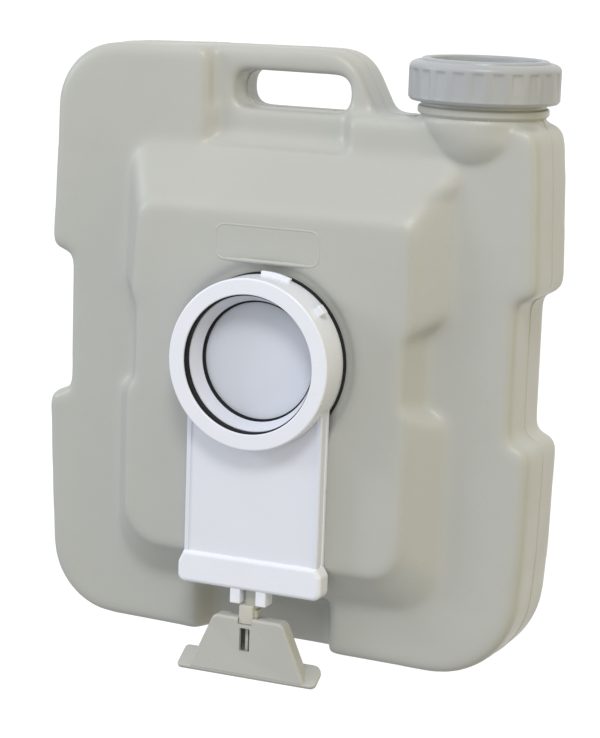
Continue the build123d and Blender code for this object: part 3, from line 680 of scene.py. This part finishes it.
# --------------------------------------------------------------------- spout cap
def cap_ring():
    wall_h = [180.3, 181.6, 183.0, 185.5, 188.5, 191.5, 194.4, 196.6, 197.8, 198.5, 199.1, 199.7]
    prof = soft([(44.6, 178.0), (48.4, 178.0), (50.0, 180.2)], [0.3, 1.6, 0], 4, closed=False)
    first = len(prof)
    prof += [(50.0, h) for h in wall_h]
    last = len(prof)
    prof += [(50.0 - 6.6 * (1 - math.cos(PI / 2 * j / 9)), 199.7 + 4.5 * math.sin(PI / 2 * j / 9)) for j in range(1, 10)]
    prof += soft([(43.4, 204.2), (42.6, 203.7), (41.6, 206.0), (36.4, 206.0), (36.2, 199.8), (41.0, 199.7),
                  (41.0, 196.6), (44.6, 196.6), (44.6, 178.0)], [0, 0.5, 2.4, 1.8, 0.3, 0.2, 0.3, 0.3, 0], 6, closed=False)[1:-1]

    def radius(r, h, t, k):
        if not first <= k < last:
            return r
        a = (t * 24 / (2 * PI) + 0.5) % 1.0 - 0.5
        a = abs(a) * 2.0
        u = 1 - smooth_scalar(0.34, 0.78, a)
        depth = 0.8 * (0.30 + 0.70 * smooth_scalar(180.0, 197.0, h)) * (1 - smooth_scalar(197.6, 199.6, h)) * smooth_scalar(180.3, 181.8, h)
        return r - depth * u

    return lathe("cap_ring", prof, 24 * 22, "y", radius=radius)


def smooth_scalar(a, b, x):
    t = min(1.0, max(0.0, (x - a) / (b - a)))
    return t * t * (3 - 2 * t)


finish_piece(cap_ring(), CAP, "cap_grey", "cap_ring", "spout_cap_ring")
disc = soft([(0, 195.0), (43.9, 195.0), (43.9, 196.4), (40.7, 196.4), (40.7, 199.2), (35.4, 199.2), (33.6, 198.0), (0, 198.0)],
            [0, 0.4, 0.3, 0.2, 0.8, 1.0, 1.0, 0], 4)
finish_piece(lathe("cap_disc", disc, 200, "y"), CAP, "cap_grey", "cap_plug", "spout_cap_disc")
keep("spout_cap_gasket", BLACK)

# ------------------------------------------------------------------ light, camera
scene = bpy.context.scene
world = bpy.data.worlds.new("studio")
scene.world = world
world.use_nodes = True
wt = world.node_tree
wt.nodes.clear()
wout = wt.nodes.new("ShaderNodeOutputWorld")
wbg = wt.nodes.new("ShaderNodeBackground")
wt.links.new(wbg.outputs[0], wout.inputs[0])
wdir = wt.nodes.new("ShaderNodeTexCoord").outputs["Generated"]
sep = wt.nodes.new("ShaderNodeSeparateXYZ")
wt.links.new(wdir, sep.inputs[0])
# darker from the pull handle's side, brighter from the handle's side, white below
fy = span(wt, sep.outputs[1], -0.9, 0.6, 0.24, 0.74)
fx = span(wt, sep.outputs[0], 0.2, 1.0, 0.0, 1.0)
sky = blend(wt, fy, (0.30, 0.31, 0.33), (1.02, 1.02, 1.0))
sky = blend(wt, fx, sky, (0.60, 0.52, 0.32))
low = span(wt, sep.outputs[2], -0.60, -0.78, 0.0, 1.0)
col = blend(wt, low, sky, (1.14, 1.14, 1.14))
wt.links.new(col, wbg.inputs["Color"])
wbg.inputs["Strength"].default_value = 0.95


def area(name, direction, dist, size, energy, colour=(1, 1, 1), aim=(0, 0, 0.08)):
    d = bpy.data.lights.new(name, "AREA")
    d.shape, d.size, d.energy, d.color = "DISK", size, energy, colour
    o = bpy.data.objects.new(name, d)
    scene.collection.objects.link(o)
    v = Vector(direction).normalized()
    o.location = Vector(aim) + v * dist
    o.rotation_mode = "QUATERNION"
    o.rotation_quaternion = v.to_track_quat("Z", "Y")
    o.visible_camera = False
    return o


area("key", (0.24, 0.74, 0.62), 2.2, 0.62, 17.0, (1.0, 0.995, 0.985))
area("left", (-0.86, 0.30, 0.42), 2.2, 0.55, 9.0, (0.98, 0.99, 1.0))
area("warm", (0.95, 0.15, 0.25), 1.8, 0.9, 3.3, (1.0, 0.84, 0.50))

a, p, q = math.radians(23.8711145), math.radians(10.5858302), math.radians(2.07238892)
f = np.array([-math.sin(a) * math.cos(p), math.cos(a) * math.cos(p), -math.sin(p)])
r = np.array([math.cos(a), math.sin(a), 0.0])
d = np.cross(f, r)
R = np.array([[math.cos(q), -math.sin(q), 0], [math.sin(q), math.cos(q), 0], [0, 0, 1]]) @ np.array([r, d, f])
R = R @ np.array([[1, 0, 0], [0, 0, -1], [0, 1, 0]])
cam_data = bpy.data.cameras.new("cam")
cam_data.sensor_fit, cam_data.sensor_width, cam_data.lens = "AUTO", 36.0, 2500.0 / 738.0 * 36.0
cam_data.clip_start, cam_data.clip_end = 0.05, 50.0
cam = bpy.data.objects.new("cam", cam_data)
scene.collection.objects.link(cam)
X, Y, Z = R[0], -R[1], -R[2]
cam.matrix_world = Matrix(((X[0], Y[0], Z[0], 0.69084), (X[1], Y[1], Z[1], 0.30278), (X[2], Y[2], Z[2], 1.60527), (0, 0, 0, 1)))
scene.camera = cam
scene.view_settings.view_transform = "Standard"
scene.view_settings.look = "None"
